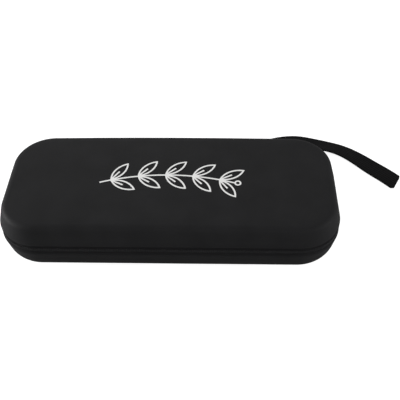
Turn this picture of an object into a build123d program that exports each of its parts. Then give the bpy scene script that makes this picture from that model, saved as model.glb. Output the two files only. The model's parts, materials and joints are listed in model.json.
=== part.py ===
"""Zipped hard case for a stethoscope: two moulded foam shells, a zip round the front and
sides, a fabric hinge along the back and a doubled wrist strap.

Millimetres, +Z up. The origin is on the floor under the middle of the case. The hinge is
towards +Y, and the strap leaves the back on the +X side.
"""
import os
from math import radians, tan

from build123d import *

# Plan of both shells at their rims
CASE_LENGTH = 290.0
CASE_WIDTH = 122.0
CORNER_RADIUS = 37.0

# Base shell, from the floor to its rim
BASE_HEIGHT = 24.5
BASE_DRAFT = 11.5
BASE_ROUNDING = 16.5

# Lid shell, from its rim to the foot of its domed top
LID_HEIGHT = 17.4
LID_DRAFT = 14.5
LID_ROUNDING = 5.8
LID_CROWN = 1.8
INNER_ROUNDING = 2.5

# Layers of both walls, from outside in
COVER = 0.7
FOAM = 3.8
LINING = 0.5
RIM_FOAM = 0.5
SEAM_DEPTH = 8.0
BINDING = 0.8

# Zip: the band between the rims, the tape and the coil halves
BAND_HEIGHT = 9.2
TAPE = 0.8
TAPE_TUCK = 6.5
COIL_HALF_HEIGHT = 3.0
COIL_DEPTH = 1.0
CHAIN_SLIT = 0.1
TAIL_SLIT = 0.6
TAIL_SETBACK = 2.0
STOP_LENGTH = 2.0

# Fabric hinge
HINGE_LENGTH = 124.0
HINGE_OFFSET = 1.9
WEB = 0.8
WEB_LINING = 0.6
WEB_TUCK = 6.0
SOFT_GAP = 0.3

# Slider and its pull
SLIDER_LENGTH = 9.0
SLIDER_PLATE = 1.0
SLIDER_PLATE_CORNER = 2.0
SLIDER_BACK = 0.8
SLIDER_BACK_HEIGHT = 3.8
SLIDER_BACK_CORNER = 1.2
SLIDER_FLANGE = 0.75
FLANGE_SETBACK = 2.0
SLIDER_POST = 0.8
SLIDER_CLEARANCE = 0.15
SLIDER_PARKING = 1.0
BRIDGE_HEIGHT = 2.45
BRIDGE_WIDTH = 1.8
BRIDGE_LENGTH = 6.0
BRIDGE_WIRE = 0.9
PULL_LENGTH = 26.0
PULL_WIDTH = 6.4
PULL_THICKNESS = 1.2
PULL_EYE_LENGTH = 3.4
PULL_EYE_WIDTH = 2.6
PULL_HOLE_SETBACK = 4.0

# Straps that hold the stethoscope in the base
RETAINER_WIDTH = 25.0
RETAINER_REACH = 34.0
RETAINER_OVERLAP = 16.0
RETAINER_THICKNESS = 1.2
TACK_LENGTH = 6.0
TACK_MARGIN = 2.0
TACK_THICKNESS = 0.8

# Net pocket in the lid
POCKET_DROP = 3.6
POCKET_HEM = 6.0
POCKET_HEM_GAP = 0.5
POCKET_NET = 0.6
POCKET_NET_MARGIN = 1.5
POCKET_MOUTH = 22.0
POCKET_ELASTIC_WIDTH = 7.0
POCKET_ELASTIC = 0.8

# Wrist strap: two plies of webbing pressed together, which lie on the floor
STRAP_WIDTH = 19.0
STRAP_THICKNESS = 2.8
STRAP_SECTIONS = 36
ANCHOR_LENGTH = 30.0
ANCHOR_DEPTH = 3.4
ANCHOR_HEIGHT = 3.0
ANCHOR_GROOVE = 0.8
ANCHOR_SETBACK = 12.2
# Middle of the strap past its root: from the tab's middle, the case's back and the floor
STRAP_ROUTE = [
    (9.6, 1.9, 15.6),
    (18.2, 5.0, 6.5),
    (28.2, 14.2, 1.5),
    (39.6, 26.8, 1.5),
    (53.2, 36.9, 1.5),
    (68.8, 43.5, 1.5),
    (85.6, 45.3, 1.5),
    (102.2, 42.1, 1.5),
    (117.4, 35.9, 1.5),
    (130.9, 29.1, 1.5),
    (143.7, 19.1, 1.5),
    (155.5, 7.5, 1.5),
    (167.5, -3.5, 1.5),
    (176.0, -13.3, 1.5),
]

# Printed sprig on the lid
PRINT_LINE = 1.4
PRINT_THICKNESS = 0.2
PRINT_CENTRE = (-2.0, 0.0)
STEM_SPAN = 116.0
STEM_RISE = 9.0
LEAF_PAIRS = 5
LEAF_START = 0.4
LEAF_LENGTH = 25.0
LEAF_WIDTH = 9.5
LEAF_ANGLE = 42.0
BERRY_RADIUS = 3.0

# Levels and planes that several pieces share
LID_RIM = BASE_HEIGHT + BAND_HEIGHT
CHAIN_LEVEL = BASE_HEIGHT + BAND_HEIGHT / 2
BACK = CASE_WIDTH / 2
SIDE = CASE_LENGTH / 2
SHELL_WALL = COVER + FOAM + LINING
TAPE_INSET = COVER + RIM_FOAM
COIL_INSET = TAPE_INSET - COIL_DEPTH
COIL_BOTTOM = CHAIN_LEVEL - COIL_HALF_HEIGHT
WEB_INSET = TAPE_INSET + SOFT_GAP
LID_TOP = LID_RIM + LID_HEIGHT
DOME_RADIUS = SIDE ** 2 / (2 * LID_CROWN)
TAIL_END = SIDE - CORNER_RADIUS - TAIL_SETBACK
HINGE_HALF = HINGE_LENGTH / 2
EVERYWHERE = 2 * CASE_LENGTH

os.makedirs("parts", exist_ok=True)


def save(name, shape):
    """Write one piece, and print what it holds."""
    export_step(shape, f"parts/{name}.step")
    print(f"{name}: {len(shape.solids())} solid(s), {shape.volume:.1f} mm3")


def plan(inset):
    """Outline of the case at its rims, drawn in by inset."""
    length = CASE_LENGTH - 2 * inset
    width = CASE_WIDTH - 2 * inset
    return RectangleRounded(length, width, CORNER_RADIUS - inset)


def slab(inset, low, high, draft=0.0):
    """Block inside the plan, from low to high over the rim, leaning in with the draft."""
    foot = inset + low * tan(radians(draft))
    return extrude(Pos(0, 0, low) * plan(foot), high - low, taper=draft)


def ring(outer, inner, low, high, draft=0.0):
    """Wall between two insets, from low to high over the rim."""
    return slab(outer, low, high, draft) - slab(inner, low, high, draft)


def moulded_block(inset, height, draft, rounding, crown=0.0):
    """What a shell holds, inset from its skin, standing on its rim with its top upwards."""
    block = slab(inset, 0, height - inset + crown, draft)
    if crown:
        middle = height + crown - DOME_RADIUS
        # The ball lies on its side, so that no pole of it falls on the lid's top
        block = block & Pos(0, 0, middle) * Rot(90, 0, 0) * Sphere(DOME_RADIUS - inset)
    top = block.faces().sort_by(Axis.Z)[-1]
    return fillet(top.edges(), max(rounding - inset, INNER_ROUNDING))


def base_block(inset):
    """Inside of the base, still with its rim down."""
    return moulded_block(inset, BASE_HEIGHT, BASE_DRAFT, BASE_ROUNDING)


def lid_block(inset):
    """Inside of the lid, with its rim at zero."""
    return moulded_block(inset, LID_HEIGHT, LID_DRAFT, LID_ROUNDING, LID_CROWN)


def on_base(shape):
    """Turn a piece over and seat it on the base's rim."""
    return Pos(0, 0, BASE_HEIGHT) * mirror(shape, about=Plane.XY)


def on_lid(shape):
    """Seat a piece on the lid's rim."""
    return Pos(0, 0, LID_RIM) * shape


def back_zone(x_low, x_high, z_low, z_high):
    """Box round the back wall between two places along it."""
    centre = Pos((x_low + x_high) / 2, BACK, (z_low + z_high) / 2)
    return centre * Box(x_high - x_low, CORNER_RADIUS, z_high - z_low)


def shell_layers(block, draft):
    """Cover, foam and lining of one shell; the foam is pressed thin along the rim."""
    cover = block(0) - block(COVER)
    seam = slab(TAPE_INSET, 0, SEAM_DEPTH, draft)
    foam = block(COVER) - block(COVER + FOAM) - seam
    lining = block(COVER + FOAM) - block(SHELL_WALL) - seam
    return cover, foam, lining


def seam_pieces(draft):
    """Zip tape, coil half and rim binding of one shell."""
    back = TAPE_INSET + TAPE
    edge = -BAND_HEIGHT / 2 + CHAIN_SLIT
    tape = ring(TAPE_INSET, back, edge, 0) + ring(TAPE_INSET, back, 0, TAPE_TUCK, draft)
    coil = ring(COIL_INSET, TAPE_INSET, edge, -BAND_HEIGHT / 2 + COIL_HALF_HEIGHT)
    binding = ring(back, back + BINDING, 0, SEAM_DEPTH, draft)
    return tape, coil, binding


def hinge_layer(inset, thickness):
    """Strip of fabric that runs up inside both rims along the hinge."""
    back = inset + thickness
    band = Pos(0, 0, BASE_HEIGHT) * ring(inset, back, 0, BAND_HEIGHT)
    lower = on_base(ring(inset, back, 0, WEB_TUCK, BASE_DRAFT))
    upper = on_lid(ring(inset, back, 0, WEB_TUCK, LID_DRAFT))
    half = HINGE_HALF - SOFT_GAP
    return (band + lower + upper) & back_zone(-half, half, 0, LID_TOP)


# ---- shells

base_cover, base_core, base_lining = shell_layers(base_block, BASE_DRAFT)
save("base_cover", on_base(base_cover))
save("base_core", on_base(base_core))
save("base_lining", on_base(base_lining))

lid_cover, lid_core, lid_lining = shell_layers(lid_block, LID_DRAFT)
save("lid_cover", on_lid(lid_cover))
save("lid_core", on_lid(lid_core))
save("lid_lining", on_lid(lid_lining))

# ---- zip and rim bindings, open along the hinge

hinge_gap = back_zone(-HINGE_HALF, HINGE_HALF, 0, LID_TOP)
slit = back_zone(-TAIL_END, TAIL_END, CHAIN_LEVEL - TAIL_SLIT, CHAIN_LEVEL + TAIL_SLIT)

base_tape, base_coil, base_binding = [on_base(s) for s in seam_pieces(BASE_DRAFT)]
save("base_zip_tape", base_tape - hinge_gap - slit)
save("base_zip_coil", base_coil - hinge_gap - slit)
save("base_rim_binding", base_binding - hinge_gap)

lid_tape, lid_coil, lid_binding = [on_lid(s) for s in seam_pieces(LID_DRAFT)]
lid_tails = back_zone(-TAIL_END, TAIL_END, 0, LID_RIM)
save("lid_zip_tape", lid_tape - hinge_gap - lid_tails)
save("lid_zip_coil", lid_coil - lid_tails)
save("lid_rim_binding", lid_binding - hinge_gap)

# The lid's half of the chain is loose at the back, where it folds with the hinge
tail_low = CHAIN_LEVEL + TAIL_SLIT
tail_high = LID_RIM - SOFT_GAP / 2
for side, sign in (("left", -1), ("right", 1)):
    ends = sorted((sign * (HINGE_HALF + SOFT_GAP), sign * (TAIL_END - SOFT_GAP)))
    zone = back_zone(*ends, tail_low, tail_high)
    save(f"zip_tail_tape_{side}", lid_tape & zone)
    save(f"zip_tail_coil_{side}", lid_coil & zone)

# Crimped stops on the coil's two ends, on the base's half
coil_face = BACK - COIL_INSET
stop_low = CHAIN_LEVEL - COIL_HALF_HEIGHT
stop_size = (STOP_LENGTH, COIL_DEPTH / 2, COIL_HALF_HEIGHT - TAIL_SLIT)
stop = Pos(0, coil_face + stop_size[1] / 2, stop_low + stop_size[2] / 2) * Box(*stop_size)
stop_place = HINGE_HALF + STOP_LENGTH
save("zip_stops", Compound([Pos(x, 0, 0) * stop for x in (-stop_place, stop_place)]))

# ---- fabric hinge

save("hinge_web", hinge_layer(WEB_INSET, WEB))
save("hinge_lining", hinge_layer(WEB_INSET + WEB, WEB_LINING))
print(f"hinge axis: y {BACK + HINGE_OFFSET}, z {CHAIN_LEVEL}")

# ---- slider, seen with the chain along X and its plate facing +Y

slider_x = -(HINGE_HALF + 2 * STOP_LENGTH + SLIDER_LENGTH / 2 + SLIDER_PARKING)
plate_low = coil_face + SLIDER_CLEARANCE
plate_high = plate_low + SLIDER_PLATE
back_high = BACK - TAPE_INSET - TAPE - SLIDER_CLEARANCE
back_low = back_high - SLIDER_BACK
flange_low = BACK - TAPE_INSET + SLIDER_CLEARANCE
flange_foot = COIL_HALF_HEIGHT + SLIDER_CLEARANCE
plate_width = 2 * (flange_foot + SLIDER_FLANGE)


def slider_plate(low, high, length, width, corner):
    """Rounded plate in the plane of the tape, between two depths."""
    face = Plane.XZ * RectangleRounded(length, width, corner)
    return Pos(0, high, 0) * extrude(face, high - low)


slider_body = slider_plate(
    plate_low, plate_high, SLIDER_LENGTH, plate_width, SLIDER_PLATE_CORNER
)
slider_body += slider_plate(
    back_low, back_high, SLIDER_LENGTH, SLIDER_BACK_HEIGHT, SLIDER_BACK_CORNER
)
flange_size = (SLIDER_LENGTH - 2 * FLANGE_SETBACK, plate_low - flange_low, SLIDER_FLANGE)
for sign in (-1, 1):
    flange_centre = sign * (flange_foot + SLIDER_FLANGE / 2)
    slider_body += Pos(0, flange_low + flange_size[1] / 2, flange_centre) * Box(*flange_size)
post_depth = plate_low - back_high
post = Pos(SLIDER_LENGTH / 4, back_high + post_depth / 2, 0)
slider_body += post * Box(SLIDER_LENGTH / 4, post_depth, SLIDER_POST)
at_slider = Pos(slider_x, 0, CHAIN_LEVEL)
save("slider_body", at_slider * slider_body)

bridge_outer = Rectangle(BRIDGE_LENGTH, 2 * BRIDGE_HEIGHT)
bridge_outer = fillet(bridge_outer.vertices(), BRIDGE_WIRE)
bridge_inner = Rectangle(BRIDGE_LENGTH - 2 * BRIDGE_WIRE, 2 * (BRIDGE_HEIGHT - BRIDGE_WIRE))
bridge_half = (bridge_outer - bridge_inner) & Pos(0, BRIDGE_HEIGHT) * Rectangle(
    2 * BRIDGE_LENGTH, 2 * BRIDGE_HEIGHT
)
bridge = extrude(bridge_half, BRIDGE_WIDTH / 2, both=True)
save("slider_bridge", at_slider * Pos(0, plate_high, 0) * bridge)

# Pull: its bar turns under the bridge about an upright axis, and it lies along the chain
pull_axis = plate_high + SLIDER_CLEARANCE + PULL_THICKNESS / 2
bar_radius = PULL_THICKNESS / 2
eye_end = bar_radius + PULL_EYE_LENGTH
grip = Pos(-PULL_LENGTH / 2, 0) * SlotOverall(PULL_LENGTH, PULL_WIDTH)
heel = Pos(-PULL_WIDTH / 2, 0) * Rectangle(PULL_WIDTH, PULL_WIDTH)
eye = Pos(-eye_end / 2, 0) * Rectangle(eye_end, PULL_EYE_WIDTH)
hole = Pos(PULL_HOLE_SETBACK - PULL_LENGTH, 0) * Circle(PULL_WIDTH / 4)
pull_face = Plane.XZ * (grip + heel - eye - hole)
pull_tab = extrude(pull_face, PULL_THICKNESS / 2, both=True)
pull_tab += Cylinder(bar_radius, PULL_WIDTH)
save("pull_tab", Pos(slider_x, pull_axis, CHAIN_LEVEL) * pull_tab)
print(f"pull axis: x {slider_x}, y {pull_axis:.3f}")
travel = TAIL_END + slider_x - SLIDER_LENGTH / 2 - SLIDER_PARKING
print(f"slider travel: {travel:.1f}")

# ---- retaining straps on the floor of the base

retainer_length = RETAINER_REACH + RETAINER_OVERLAP / 2
for level, (name, sign) in enumerate((("front", -1), ("rear", 1))):
    low = SHELL_WALL + level * RETAINER_THICKNESS
    middle = sign * (RETAINER_REACH - retainer_length / 2)
    strip = Box(RETAINER_WIDTH, retainer_length, RETAINER_THICKNESS)
    place = Pos(0, middle, low + RETAINER_THICKNESS / 2)
    riser = Pos(0, sign * (RETAINER_REACH - TACK_LENGTH / 2), (SHELL_WALL + low) / 2)
    strap = place * strip
    if level:
        strap += riser * Box(RETAINER_WIDTH, TACK_LENGTH, low - SHELL_WALL)
    save(f"retaining_strap_{name}", strap)
tack = Box(RETAINER_WIDTH - 2 * TACK_MARGIN, TACK_LENGTH - TACK_MARGIN, TACK_THICKNESS)
tack_y = RETAINER_REACH - TACK_LENGTH / 2
tack_z = SHELL_WALL + RETAINER_THICKNESS + TACK_THICKNESS / 2
tacks = [
    Pos(0, -tack_y, tack_z) * tack,
    Pos(0, tack_y, tack_z + RETAINER_THICKNESS) * tack,
]
save("retaining_strap_tacks", Compound(tacks))

# ---- net pocket in the lid, closed at the back and sides and open to the front

lid_cavity = lid_block(SHELL_WALL)
net_high = LID_HEIGHT - SHELL_WALL - POCKET_DROP
net_inset = SHELL_WALL + net_high * tan(radians(LID_DRAFT)) + POCKET_HEM_GAP
net_edge = net_inset + POCKET_NET_MARGIN
above_net = slab(0, net_high, LID_HEIGHT + LID_CROWN)
behind_mouth = Pos(0, SIDE - POCKET_MOUTH, 0) * Box(EVERYWHERE, CASE_LENGTH, EVERYWHERE)
hem_hole = slab(net_inset + POCKET_HEM, 0, LID_HEIGHT + LID_CROWN)
pocket_hem = (lid_cavity & above_net & behind_mouth) - hem_hole
save("pocket_hem", on_lid(pocket_hem))
pocket_net = slab(net_edge, net_high - POCKET_NET, net_high) & behind_mouth
save("pocket_net", on_lid(pocket_net))
elastic_low = net_high - POCKET_NET - POCKET_ELASTIC
elastic_zone = Pos(0, POCKET_ELASTIC_WIDTH / 2 - POCKET_MOUTH, 0)
elastic_strip = elastic_zone * Box(EVERYWHERE, POCKET_ELASTIC_WIDTH, EVERYWHERE)
pocket_elastic = slab(net_edge, elastic_low, net_high - POCKET_NET) & elastic_strip
save("pocket_elastic", on_lid(pocket_elastic))

# ---- wrist strap and the folded tab that sews its end into the seam

anchor_x = HINGE_HALF - ANCHOR_SETBACK - ANCHOR_LENGTH / 2
tab_low = BASE_HEIGHT + ANCHOR_GROOVE
tab_middle = Pos(anchor_x, BACK + ANCHOR_DEPTH / 2, tab_low + ANCHOR_HEIGHT / 2)
tongue_height = COIL_BOTTOM - SOFT_GAP / 2 - BASE_HEIGHT
tongue_middle = Pos(anchor_x, BACK - TAPE_INSET / 2, BASE_HEIGHT + tongue_height / 2)
strap_anchor = tab_middle * Box(ANCHOR_LENGTH, ANCHOR_DEPTH, ANCHOR_HEIGHT)
strap_anchor += tongue_middle * Box(ANCHOR_LENGTH, TAPE_INSET, tongue_height)
save("strap_anchor", strap_anchor)

strap_root = (anchor_x, BACK + ANCHOR_DEPTH / 2, tab_low)
strap_points = [strap_root] + [(anchor_x + x, BACK + y, z) for x, y, z in STRAP_ROUTE]


def fillet_radii(points):
    """Largest radii that the runs beside each corner allow."""
    radii = []
    for a, b, c in zip(points, points[1:], points[2:]):
        before = Vector(*b) - Vector(*a)
        after = Vector(*c) - Vector(*b)
        turn = radians(before.get_angle(after))
        radii.append(0.45 * min(before.length, after.length) / tan(turn / 2))
    return radii


def strap_section(place, heading):
    """Cut across the webbing, whose face looks back where it hangs and up where it lies."""
    face = Vector(0, -heading.Z, abs(heading.Y))
    return Plane(place, x_dir=heading.cross(face), z_dir=heading) * Rectangle(
        STRAP_WIDTH, STRAP_THICKNESS
    )


strap_radii = fillet_radii(strap_points)
strap_path = FilletPolyline(*strap_points, radius=strap_radii)
print("strap radii:", [round(r, 1) for r in strap_radii])
shares = [step / STRAP_SECTIONS for step in range(STRAP_SECTIONS + 1)]
strap_sections = [strap_section(strap_path @ s, strap_path % s) for s in shares]

# The webbing starts inside the tab, and is cut level with the tab's underside
root_heading = strap_path % 0
strap_start = strap_section(Vector(*strap_root) - STRAP_WIDTH / 2 * root_heading, root_heading)
wrist_strap = loft([strap_start] + strap_sections)
above_tab = Pos(anchor_x, BACK, tab_low + STRAP_WIDTH)
wrist_strap -= above_tab * Box(4 * STRAP_WIDTH, 2 * STRAP_WIDTH, 2 * STRAP_WIDTH)
save("wrist_strap", wrist_strap)
expected = STRAP_WIDTH * STRAP_THICKNESS * strap_path.length
print(
    f"strap length {strap_path.length:.1f},"
    f" volume over section times length {wrist_strap.volume / expected:.3f}"
)

# ---- printed sprig: a bowed stem with paired leaves and a berry at its tip


def leaf():
    """Line drawing of one leaf, from its foot at the origin along +X, with half a rib."""
    foot, tip = (0, 0), (LEAF_LENGTH, 0)
    upper = ThreePointArc(foot, (LEAF_LENGTH / 2, LEAF_WIDTH / 2), tip)
    lower = ThreePointArc(tip, (LEAF_LENGTH / 2, -LEAF_WIDTH / 2), foot)
    blade = make_face([upper, lower])
    rib_length = LEAF_LENGTH / 2
    rib = Pos(rib_length / 2, 0) * Rectangle(rib_length, PRINT_LINE)
    return (blade - offset(blade, -PRINT_LINE)) + (rib & blade)


def sprig():
    """The whole drawing, flat, about its own middle."""
    half = STEM_SPAN / 2
    stem = ThreePointArc((-half, -STEM_RISE / 2), (0, STEM_RISE / 2), (half, -STEM_RISE / 2))
    drawing = trace(stem, PRINT_LINE)
    berry = Circle(BERRY_RADIUS) - Circle(BERRY_RADIUS - PRINT_LINE)
    for pair in range(LEAF_PAIRS):
        share = (pair + LEAF_START) / LEAF_PAIRS
        foot = stem @ share
        heading = stem.tangent_angle_at(share)
        for sign in (-1, 1):
            turn = heading + sign * LEAF_ANGLE
            drawing += Pos(foot.X, foot.Y) * Rot(0, 0, turn) * leaf()
    tip = stem @ 1
    drawing += Pos(tip.X + BERRY_RADIUS - PRINT_LINE / 2, tip.Y) * berry
    return drawing


def lid_dome(raise_by):
    """Ball whose top is the lid's top, raised a little."""
    middle = LID_TOP + LID_CROWN - DOME_RADIUS
    return Pos(0, 0, middle) * Rot(90, 0, 0) * Sphere(DOME_RADIUS + raise_by)


print_foot = Pos(*PRINT_CENTRE, LID_TOP - LID_ROUNDING) * sprig()
print_column = extrude(print_foot, 2 * LID_ROUNDING, dir=(0, 0, 1))
lid_print = (print_column & lid_dome(PRINT_THICKNESS)) - lid_dome(0)
save("lid_print", lid_print)
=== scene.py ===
"""Looks of a zipped hard case for a stethoscope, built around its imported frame.

Metres, +Z up. The case lies on the floor with its hinge towards +Y. Laid out as an add-on:
each piece, or group of like pieces, has its own operator in the Case panel.
"""
import json
from math import ceil, cos, hypot, pi, radians, sin, sqrt, tan

import bpy
from bpy.props import FloatProperty, FloatVectorProperty, PointerProperty
from bpy.types import Operator, Panel, PropertyGroup
from mathutils import Matrix, Vector, noise

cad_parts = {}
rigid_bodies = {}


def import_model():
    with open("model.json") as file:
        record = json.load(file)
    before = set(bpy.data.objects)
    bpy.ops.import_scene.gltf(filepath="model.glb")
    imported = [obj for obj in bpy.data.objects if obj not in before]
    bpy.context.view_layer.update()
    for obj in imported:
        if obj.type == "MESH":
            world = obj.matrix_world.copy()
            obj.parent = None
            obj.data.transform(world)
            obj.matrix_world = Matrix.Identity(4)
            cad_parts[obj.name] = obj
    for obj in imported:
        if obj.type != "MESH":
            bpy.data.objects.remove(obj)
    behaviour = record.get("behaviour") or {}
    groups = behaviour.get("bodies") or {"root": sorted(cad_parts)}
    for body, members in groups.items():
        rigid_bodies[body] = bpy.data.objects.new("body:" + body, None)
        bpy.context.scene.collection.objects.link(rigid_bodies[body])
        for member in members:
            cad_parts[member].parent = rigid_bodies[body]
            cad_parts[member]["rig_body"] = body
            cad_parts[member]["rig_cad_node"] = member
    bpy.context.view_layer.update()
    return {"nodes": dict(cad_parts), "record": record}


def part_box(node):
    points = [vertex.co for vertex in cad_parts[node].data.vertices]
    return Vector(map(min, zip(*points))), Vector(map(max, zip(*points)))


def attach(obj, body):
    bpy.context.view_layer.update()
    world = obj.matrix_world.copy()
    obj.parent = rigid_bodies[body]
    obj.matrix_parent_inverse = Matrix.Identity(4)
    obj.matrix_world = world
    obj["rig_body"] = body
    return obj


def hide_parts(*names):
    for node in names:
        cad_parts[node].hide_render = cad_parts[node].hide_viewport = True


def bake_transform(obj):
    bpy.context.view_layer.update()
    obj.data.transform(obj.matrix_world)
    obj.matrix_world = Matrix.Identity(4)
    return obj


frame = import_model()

bl_info = {
    "name": "Stethoscope case",
    "version": (1, 0, 0),
    "blender": (4, 5, 0),
    "location": "View3D > Sidebar > Case",
    "description": "Builds the looks of a zipped hard case around its frame",
    "category": "Object",
}

MM = 0.001
HALF_LENGTH, HALF_WIDTH, BASE_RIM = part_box("base_cover")[1]
LID_RIM, LID_TOP = (corner.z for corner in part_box("lid_cover"))
CHAIN_LEVEL = (BASE_RIM + LID_RIM) / 2
HINGE_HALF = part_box("hinge_web")[1].x
TAIL_INNER, TAIL_OUTER = (corner.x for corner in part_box("zip_tail_coil_right"))
COIL_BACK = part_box("base_zip_coil")[1].y


# ---- sizes and colours that a user would change


def length(name, description, default):
    """A length in metres, shown in the scene's own unit."""
    return FloatProperty(
        name=name, description=description, default=default, unit="LENGTH", precision=5
    )


def turn(name, description, degrees):
    """An angle."""
    return FloatProperty(
        name=name, description=description, default=radians(degrees), subtype="ANGLE"
    )


def tint(name, description, default):
    """A linear colour."""
    return FloatVectorProperty(
        name=name, description=description, default=default, subtype="COLOR", min=0, max=1
    )


def power(name, description, default):
    """The power of a studio light, in watts."""
    return FloatProperty(name=name, description=description, default=default, unit="POWER")


class CaseSizes(PropertyGroup):
    """Sizes of the shells and of what is sewn to them"""

    corner_radius: length("Corner radius", "Radius of the case's corners in plan", 37 * MM)
    base_draft: turn("Base draft", "Lean of the base's wall", 11.5)
    base_rounding: length("Base rounding", "Radius along the base's lower edge", 16.5 * MM)
    lid_draft: turn("Lid draft", "Lean of the lid's wall", 14.5)
    lid_rounding: length("Lid rounding", "Radius along the lid's upper edge", 5.8 * MM)
    lid_crown: length("Lid crown", "Rise of the lid's domed top", 1.8 * MM)
    base_fold: length("Base fold", "Height of the cover's fold over the base's rim", 0.35 * MM)
    lid_fold: length("Lid fold", "Height of the cover's fold over the lid's rim", 0.9 * MM)
    cover: length("Cover", "Thickness of the fabric over the foam", 0.6 * MM)
    lining: length("Lining", "Thickness of the lining in both shells", 0.4 * MM)
    shell_wall: length("Shell wall", "Cover, foam and lining together", 5.0 * MM)
    seam_depth: length("Seam depth", "Depth of the stitched band inside the rims", 8.0 * MM)
    tape_inset: length("Tape inset", "Depth of the zip tape behind the cover", 1.2 * MM)
    binding_inset: length("Binding inset", "Depth of the rim binding", 2.0 * MM)
    tape: length("Tape", "Thickness of the zip tapes and bindings", 0.6 * MM)
    tooth_pitch: length("Tooth pitch", "Distance from one tooth to the next", 1.5 * MM)
    coil_half: length("Coil half", "Height of one half of the coil", 2.15 * MM)
    stitch_pitch: length("Stitch pitch", "Distance from one stitch to the next", 3.2 * MM)
    strap_width: length("Strap width", "Width of the wrist strap", 18.4 * MM)
    strap_thickness: length("Strap thickness", "Both plies of the strap together", 2.2 * MM)
    retainer: length("Retainer", "Thickness of the hook-and-loop strap", 1.1 * MM)
    elastic: length("Elastic", "Thickness of the elastic along the pocket's mouth", 0.5 * MM)
    net_cell: length("Net cell", "Width of one opening of the pocket's net", 3.0 * MM)
    net_strand: length("Net strand", "Thickness of the net's strands", 0.45 * MM)


class CaseColours(PropertyGroup):
    """Base colours of the finishes"""

    cover: tint("Cover", "Fabric over both shells, and elastic", (0.0125, 0.0125, 0.0132))
    foam: tint("Foam", "Foam bodies of both shells", (0.02, 0.02, 0.021))
    # The band is darker than the cover partly as painted shade, so the groove under the lid's rim
    # reads dark, and partly as the tapes' own colour.
    band: tint("Band", "Zip tape, bindings, hinge and net", (0.0092, 0.0092, 0.0098))
    coil: tint("Coil", "Nylon teeth", (0.0155, 0.0155, 0.0165))
    strap: tint("Strap", "Wrist strap and retaining strap", (0.0062, 0.0062, 0.0065))
    lining: tint("Lining", "Brushed lining", (0.03, 0.03, 0.031))
    metal: tint("Slider", "Enamelled slider", (0.012, 0.012, 0.013))
    ink: tint("Ink", "Printed drawing", (0.82, 0.82, 0.81))
    floor: tint("Floor", "Studio floor", (0.42, 0.42, 0.42))


class CaseStudio(PropertyGroup):
    """Where the camera stands, and how bright the studio is"""

    elevation: turn("Elevation", "How far the camera looks down", 46.35)
    azimuth: turn("Azimuth", "How far round the camera stands", 2.69)
    roll: turn("Roll", "Turn of the picture", -1.56)
    distance: length("Distance", "From the aim to the camera", 628.9 * MM)
    aim_x: length("Aim X", "Point on the floor that the camera looks at", 24.28 * MM)
    aim_y: length("Aim Y", "Point on the floor that the camera looks at", 25.5 * MM)
    lens: FloatProperty(name="Lens", description="Focal length", default=60.2, unit="CAMERA")
    world: FloatProperty(name="Surroundings", description="Light from all round", default=0.55)
    key: power("Key", "Light overhead", 1.8)
    rim: power("Rim", "Light behind", 1.6)
    left: power("Left", "Light at the left end", 14.0)
    right: power("Right", "Light at the right end", 4.2)
    front: power("Front", "Light in front", 2.6)
    glow: FloatProperty(name="Glow", description="How brightly the floor shines", default=0.9)


def sizes():
    return bpy.context.scene.case_sizes


def colours():
    return bpy.context.scene.case_colours


# ---- shared effects, as node groups


def new_group(name, inputs, outputs):
    """A shader node group with named sockets, and its two ends."""
    group = bpy.data.node_groups.new(name, "ShaderNodeTree")
    for label, kind, value in inputs:
        socket = group.interface.new_socket(label, in_out="INPUT", socket_type=kind)
        if value is not None:
            socket.default_value = value
    for label, kind in outputs:
        group.interface.new_socket(label, in_out="OUTPUT", socket_type=kind)
    return group, group.nodes.new("NodeGroupInput"), group.nodes.new("NodeGroupOutput")


def math_node(tree, operation, *operands):
    """One step of arithmetic; each operand is a socket or a number."""
    node = tree.nodes.new("ShaderNodeMath")
    node.operation = operation
    for place, value in enumerate(operands):
        if isinstance(value, (int, float)):
            node.inputs[place].default_value = value
        else:
            tree.links.new(value, node.inputs[place])
    return node.outputs[0]


def split_vector(tree, vector):
    """A vector's three parts."""
    split = tree.nodes.new("ShaderNodeSeparateXYZ")
    tree.links.new(vector, split.inputs[0])
    return split.outputs


VALUE, COLOUR, VECTOR = "NodeSocketFloat", "NodeSocketColor", "NodeSocketVector"


def plain_weave(group, vector, pitch, across, along):
    """Threads that pass over and under each other in the plane of two of the axes."""
    parts = split_vector(group, vector)
    turns = math_node(group, "DIVIDE", pi, pitch)
    waves = []
    for axis in (across, along):
        angle = math_node(group, "MULTIPLY", parts[axis], turns)
        waves.append(math_node(group, "SINE", angle))
    product = math_node(group, "MULTIPLY", *waves)
    return math_node(group, "MULTIPLY_ADD", product, 0.5, 0.5)


def cloth_group():
    """Fine weave on every side of a piece, by the axes that its surface faces."""
    group, start, end = new_group(
        "Fine weave",
        [("Vector", VECTOR, None), ("Normal", VECTOR, None), ("Pitch", VALUE, 0.6 * MM)],
        [("Height", VALUE)],
    )
    vector, normal, pitch = start.outputs[:3]
    facing = split_vector(group, normal)
    changeover = 6.0
    total = None
    for axis in range(3):
        across, along = [other for other in range(3) if other != axis]
        weave = plain_weave(group, vector, pitch, across, along)
        facing_axis = math_node(group, "ABSOLUTE", facing[axis])
        weight = math_node(group, "POWER", facing_axis, changeover)
        share = math_node(group, "MULTIPLY", weave, weight)
        total = share if total is None else math_node(group, "ADD", total, share)
    group.links.new(total, end.inputs[0])
    return group


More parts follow.
